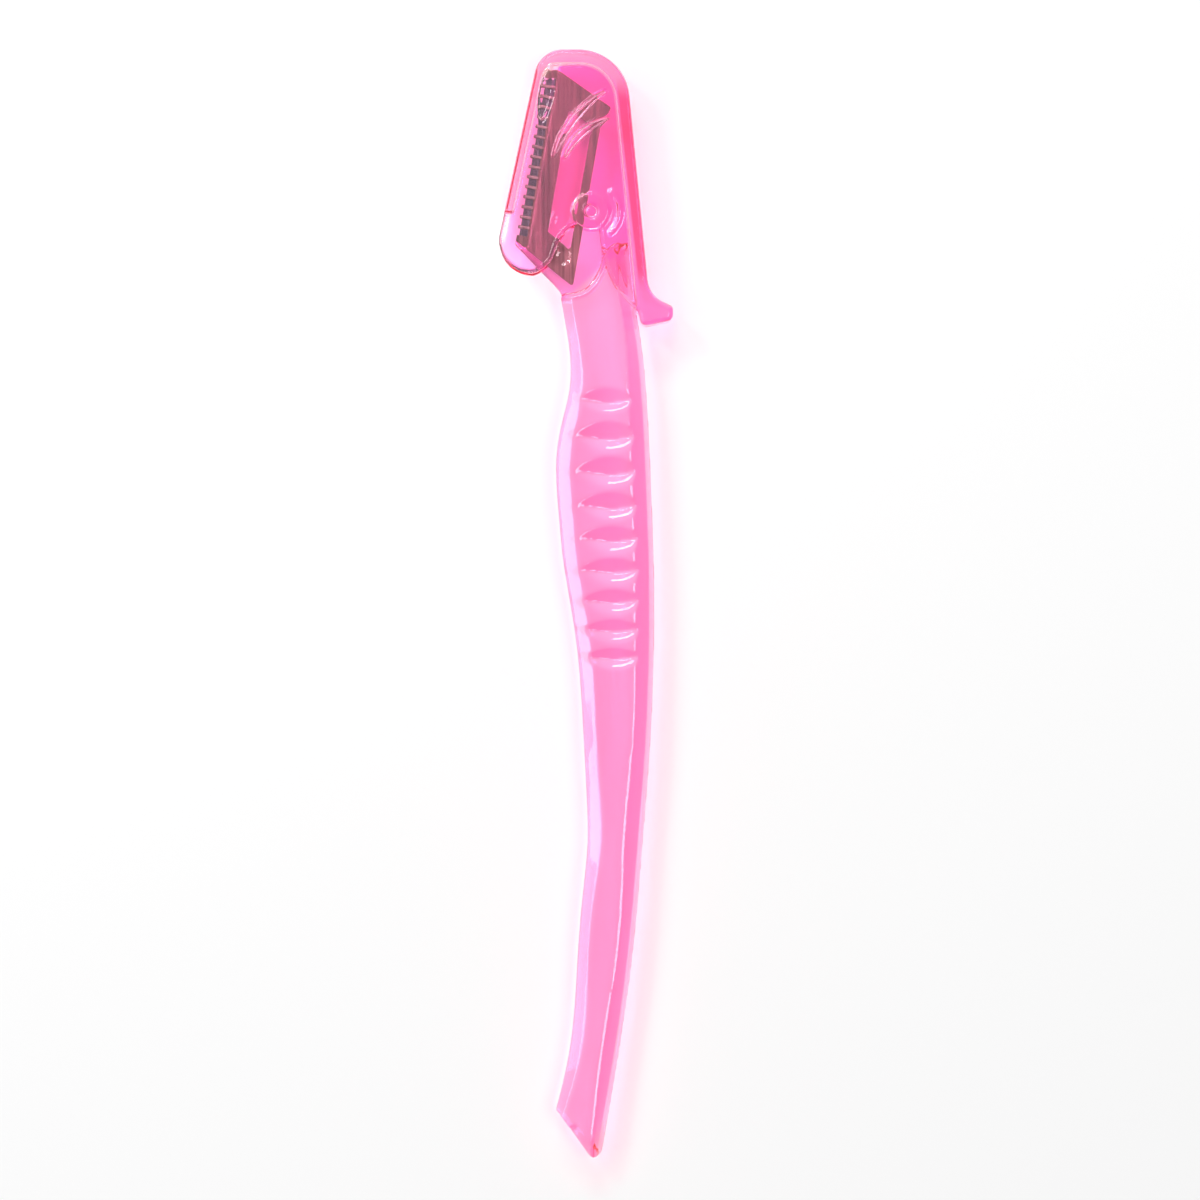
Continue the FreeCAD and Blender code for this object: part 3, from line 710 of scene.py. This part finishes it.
@dataclass
class Handle:
    """The moulded handle with the head plate, filled solid round the steel.

    Attributes:
        touch: How near the steel a face lies when it lies on it.
        grain: The size of the fine mesh's faces.
    """

    finish: HandlePlastic
    touch: float = 0.004 * MM
    grain: float = 0.26 * MM

    def build(self, effects: Effects) -> bpy.types.Object:
        """Makes the handle's piece in place of its CAD node.

        Args:
            effects: The shared shader groups.

        Returns:
            The piece, riding on the handle.
        """
        mesh = joined_mesh("handle")
        self._fill_round_steel(mesh)
        piece = smooth_piece("handle_moulding", mesh)
        soften(piece, "handle", self.grain)
        piece.data.materials.append(self.finish.make(effects))
        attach(piece, Body.HANDLE.value)
        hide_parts("handle")
        return piece

    def _fill_round_steel(self, mesh: bmesh.types.BMesh) -> None:
        """Takes out the faces that lie on the steel and closes the plastic where the steel leaves it.

        Args:
            mesh: The handle's mesh.
        """
        graph = bpy.context.evaluated_depsgraph_get()
        steel = [BVHTree.FromObject(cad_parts[node], graph) for node in ("guard_plate", "blade")]
        buried = [face for face in mesh.faces if any(self._lies_on(face, tree) for tree in steel)]
        bmesh.ops.delete(mesh, geom=buried, context="FACES")
        shell, *scraps = sorted(islands(mesh), key=len, reverse=True)
        bmesh.ops.delete(mesh, geom=[face for scrap in scraps for face in scrap], context="FACES")
        LOG.info("handle: %d buried faces, %d scraps, %d faces left", len(buried), len(scraps), len(shell))
        bmesh.ops.triangulate(mesh, faces=self._close_rim(mesh))
        bmesh.ops.recalc_face_normals(mesh, faces=mesh.faces)
        make_whole(mesh)

    def _lies_on(self, face: bmesh.types.BMFace, steel: BVHTree) -> bool:
        """Whether a face of the plastic lies against a face of the steel."""
        _, normal, _, distance = steel.find_nearest(face.calc_center_median())
        return distance < self.touch and normal.dot(face.normal) < 0

    @staticmethod
    def _close_rim(mesh: bmesh.types.BMesh) -> list[bmesh.types.BMFace]:
        """Closes the rim with two flat faces, which meet at the rim's two ends nearest the tail.

        Args:
            mesh: The handle's mesh, open along one rim.

        Returns:
            The two faces.
        """
        rim = [vert for vert in mesh.verts if vert.is_boundary]
        corner, far_corner = sorted(rim, key=lambda vert: vert.co.y)[:2]
        paths = []
        for edge in [edge for edge in corner.link_edges if edge.is_boundary]:
            path = [corner, edge.other_vert(corner)]
            while path[-1] is not far_corner:
                edge = next(other for other in path[-1].link_edges
                            if other.is_boundary and other is not edge)
                path.append(edge.other_vert(path[-1]))
            paths.append(path)
        return [mesh.faces.new(path) for path in paths]


@dataclass
class SteelHead:
    """The slotted guard and the blade that it is folded round."""

    guard_finish: RolledSteel
    blade_finish: RolledSteel

    def build(self, effects: Effects) -> bpy.types.Object:
        """Makes the guard's piece and dresses the blade's CAD node.

        Args:
            effects: The shared shader groups.

        Returns:
            The guard's piece, riding on the handle.
        """
        guard = smooth_piece("guard_strip", make_whole(joined_mesh("guard_plate")))
        keep_crisp(guard)
        guard.data.materials.append(self.guard_finish.make(effects))
        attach(guard, Body.HANDLE.value)
        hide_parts("guard_plate")
        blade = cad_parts["blade"]
        blade.material_slots[0].material = self.blade_finish.make(effects)
        return guard


@dataclass
class GuardBars:
    """The rounded crowns of the guard's bars, one between each two slots, bent round the fold.

    Attributes:
        first: Where the first bar's middle line goes round the cutting edge.
        lean: How far the row turns from the razor's length.
        bend_radius: The radius of a bar's middle line round the edge.
        reach: How far a bar comes back over the flanks.
        bend_steps: The points in each of a bar's bends.
        ring_steps: The points round a bar.
    """

    finish: RolledSteel
    count: int = 15
    pitch: float = 1.4 * MM
    first: Place = (-9.259 * MM, 51.908 * MM, 3.43 * MM)
    lean: float = math.radians(-9.8)
    bend_radius: float = 0.37 * MM
    reach: float = 1.75 * MM
    half_width: float = 0.225 * MM
    half_thickness: float = 0.1 * MM
    bend_steps: int = 6
    ring_steps: int = 12

    def build(self, effects: Effects) -> bpy.types.Object:
        """Makes the bars' piece.

        Args:
            effects: The shared shader groups.

        Returns:
            The piece, riding on the handle.
        """
        inputs = {
            "Count": ("Int", self.count),
            "Pitch": ("Float", self.pitch),
            "First": ("Vector", self.first),
            "Lean": ("Vector", (0.0, 0.0, self.lean)),
            "Bend Radius": ("Float", self.bend_radius),
            "Reach": ("Float", self.reach),
            "Half Width": ("Float", self.half_width),
            "Half Thickness": ("Float", self.half_thickness),
            "Material": ("Material", self.finish.make(effects)),
        }
        piece = place_in_scene("guard_bars", bpy.data.meshes.new("guard_bars"))
        grow = piece.modifiers.new("Guard bars", "NODES")
        grow.node_group = self._tree({name: kind for name, (kind, _) in inputs.items()})
        for item in grow.node_group.interface.items_tree:
            if item.in_out == "INPUT":
                grow[item.identifier] = inputs[item.name][1]
        settle(piece)
        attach(piece, Body.HANDLE.value)
        return piece

    def _tree(self, kinds: dict[str, str]) -> bpy.types.NodeTree:
        """Builds the geometry nodes that bend one bar and repeat it along the edge.

        Args:
            kinds: The names of the tree's inputs with the kinds of their sockets.

        Returns:
            The node tree.
        """
        group = bpy.data.node_groups.new("Guard bars", "GeometryNodeTree")
        for name, kind in kinds.items():
            group.interface.new_socket(name, in_out="INPUT", socket_type="NodeSocket" + kind)
        group.interface.new_socket("Geometry", in_out="OUTPUT", socket_type="NodeSocketGeometry")
        given = group.nodes.new("NodeGroupInput").outputs
        result = group.nodes.new("NodeGroupOutput").inputs
        tree, sums = Tree(group, "GeometryNode"), Tree(group)
        path = tree.add("CurvePrimitiveQuadrilateral", Width=given["Reach"],
                        Height=sums.maths("MULTIPLY", given["Bend Radius"], 2.0))
        bent = tree.add("FilletCurve", mode="POLY", Curve=path.outputs[0], Radius=given["Bend Radius"],
                        Count=self.bend_steps, Limit_Radius=True)
        half_reach = sums.add("CombineXYZ", X=sums.maths("MULTIPLY", given["Reach"], 0.5))
        stood = tree.add("Transform", Geometry=bent.outputs[0], Rotation=(math.pi / 2, 0.0, 0.0),
                         Translation=half_reach.outputs[0])
        ring = tree.add("CurvePrimitiveCircle", Resolution=self.ring_steps, Radius=1.0)
        section = sums.add("CombineXYZ", X=given["Half Width"], Y=given["Half Thickness"], Z=1.0)
        profile = tree.add("Transform", Geometry=ring.outputs[0], Scale=section.outputs[0])
        bar = tree.add("CurveToMesh", Curve=stood.outputs[0], Profile_Curve=profile.outputs[0])
        joined = tree.add("MergeByDistance", Geometry=bar.outputs[0], Distance=JOIN_DISTANCE)
        smooth = tree.add("SetShadeSmooth", Geometry=joined.outputs[0])
        step = sums.add("CombineXYZ", Y=given["Pitch"])
        row = tree.add("MeshLine", mode="OFFSET", Count=given["Count"], Offset=step.outputs[0])
        bars = tree.add("InstanceOnPoints", Points=row.outputs[0], Instance=smooth.outputs[0])
        placed = tree.add("Transform", Geometry=bars.outputs[0], Translation=given["First"],
                          Rotation=given["Lean"])
        real = tree.add("RealizeInstances", Geometry=placed.outputs[0])
        dressed = tree.add("SetMaterial", Geometry=real.outputs[0], Material=given["Material"])
        tree.feed(result["Geometry"], dressed.outputs[0])
        return group


@dataclass
class Cap:
    """The slide-off cap.

    Attributes:
        grain: The size of the fine mesh's faces.
    """

    finish: CapPlastic
    grain: float = 0.18 * MM

    def build(self, effects: Effects) -> bpy.types.Object:
        """Makes the cap's piece in place of its CAD node.

        Args:
            effects: The shared shader groups.

        Returns:
            The piece, riding on the cap.
        """
        piece = smooth_piece("cap_hood", make_whole(joined_mesh("cap")))
        soften(piece, "cap", self.grain)
        piece.data.materials.append(self.finish.make(effects))
        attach(piece, Body.CAP.value)
        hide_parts("cap")
        return piece


@dataclass
class Lamp:
    """One soft box that shines at the razor."""

    name: str
    place: Place
    width: float
    height: float
    watts: float

    def build(self) -> None:
        """Hangs the lamp."""
        data = bpy.data.lights.new(self.name, "AREA")
        data.shape = "RECTANGLE"
        data.size = self.width
        data.size_y = self.height
        data.energy = self.watts
        lamp = place_in_scene(self.name, data)
        lamp.location = self.place
        lamp.rotation_euler = Vector(self.place).to_track_quat("Z", "Y").to_euler()


@dataclass
class Studio:
    """The white table, the lamps, the camera and the way the picture is shown.

    Attributes:
        table_gap: How far below the razor the table lies.
        glow: How much the table adds of its own for the rays that show the background.
        sky: How strongly the world lights the scene.
        room: How bright the world is in a mirroring or clear face.
        view_width: How wide the picture is at focus_height.
        view_centre: The place in the middle of the picture.
        sight: How far the camera sees.
        bounces: How often a ray may bounce or pass a face, which the clear plastic needs.
    """

    table_size: float = 3.0
    table_gap: float = 0.15 * MM
    table_albedo: float = 0.8
    glow: float = 0.13
    sky: float = 0.19
    room: float = 0.9
    view_width: float = 165.0 * MM
    view_centre: tuple[float, float] = (1.918 * MM, 0.589 * MM)
    focus_height: float = 3.5 * MM
    lens: float = 150.0
    sensor: float = 36.0
    sight: float = 20.0
    bounces: int = 24
    lamps: list[Lamp] = field(default_factory=lambda: [
        Lamp("right_lamp", (0.25, -0.05, 0.80), 0.30, 0.30, 2.6),
        Lamp("left_lamp", (-0.60, 0.10, 0.60), 0.90, 0.16, 2.2),
        Lamp("corner_lamp", (-0.45, 0.45, 0.60), 0.10, 0.08, 1.5),
        Lamp("far_lamp", (-0.15, 0.70, 0.60), 0.40, 0.16, 3.4),
    ])

    def build(self) -> None:
        """Sets up the whole studio."""
        self._table()
        self._sky()
        for lamp in self.lamps:
            lamp.build()
        self._camera()
        scene = bpy.context.scene
        scene.view_settings.view_transform = "Standard"
        scene.cycles.max_bounces = self.bounces
        scene.cycles.glossy_bounces = self.bounces
        scene.cycles.transmission_bounces = self.bounces
        scene.cycles.transparent_max_bounces = self.bounces
        scene.cycles.use_denoising = True

    def _table(self) -> None:
        """Lays a white table that keeps the razor's shadow."""
        mesh = bmesh.new()
        bmesh.ops.create_grid(mesh, x_segments=1, y_segments=1, size=self.table_size / 2)
        bmesh.ops.translate(mesh, verts=mesh.verts, vec=(0, 0, -self.table_gap))
        table = smooth_piece("table", mesh)
        material, tree, shader = new_material("White paper")
        shader.inputs["Base Color"].default_value = opaque((self.table_albedo,) * 3)
        shader.inputs["Roughness"].default_value = 1.0
        shader.inputs["Specular IOR Level"].default_value = 0.0
        seen, _ = tree.background_rays()
        light = tree.add("Emission", Color=opaque(WHITE), Strength=tree.maths("MULTIPLY", seen, self.glow))
        both = tree.add("AddShader")
        tree.feed(both.inputs[0], shader.outputs[0])
        tree.feed(both.inputs[1], light.outputs[0])
        tree.feed(tree.nodes["Material Output"].inputs["Surface"], both.outputs[0])
        table.data.materials.append(material)

    def _sky(self) -> None:
        """Lights the scene evenly from all round, and shows white to the camera."""
        world = bpy.data.worlds.new("Studio")
        bpy.context.scene.world = world
        world.use_nodes = True
        tree = Tree(world.node_tree)
        seen, mirrored = tree.background_rays()
        strength = tree.maths("ADD", tree.ramp(seen, (0.0, 1.0), (self.sky, 1.0)),
                              tree.maths("MULTIPLY", mirrored, self.room - 1.0))
        background = tree.nodes["Background"]
        tree.feed(background.inputs["Strength"], strength)
        background.inputs["Color"].default_value = opaque(WHITE)

    def _camera(self) -> None:
        """Hangs the camera straight above the razor."""
        data = bpy.data.cameras.new("camera")
        data.lens = self.lens
        data.sensor_width = self.sensor
        data.clip_end = self.sight
        camera = place_in_scene("camera", data)
        distance = self.view_width * self.lens / self.sensor
        camera.location = (*self.view_centre, distance + self.focus_height)
        bpy.context.scene.camera = camera


def main() -> None:
    """Builds the razor's pieces in order and reports each."""
    logging.basicConfig(level=logging.INFO, format="%(name)s: %(message)s")
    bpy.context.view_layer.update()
    effects = Effects()
    blade_steel = RolledSteel("Blade steel", light=(0.15, 0.13, 0.15), dark=(0.08, 0.07, 0.085),
                              roughness=0.25)
    bar_steel = RolledSteel("Bar steel", light=(0.30, 0.21, 0.19), dark=(0.19, 0.13, 0.12),
                            roughness=0.40)
    parts = [
        Handle(HandlePlastic()),
        SteelHead(RolledSteel("Guard steel"), blade_steel),
        GuardBars(bar_steel),
        Cap(CapPlastic()),
    ]
    for part in parts:
        piece = part.build(effects)
        LOG.info("%s: %d faces", piece.name, len(piece.data.polygons))
    Studio().build()


if __name__ == "__main__":
    main()
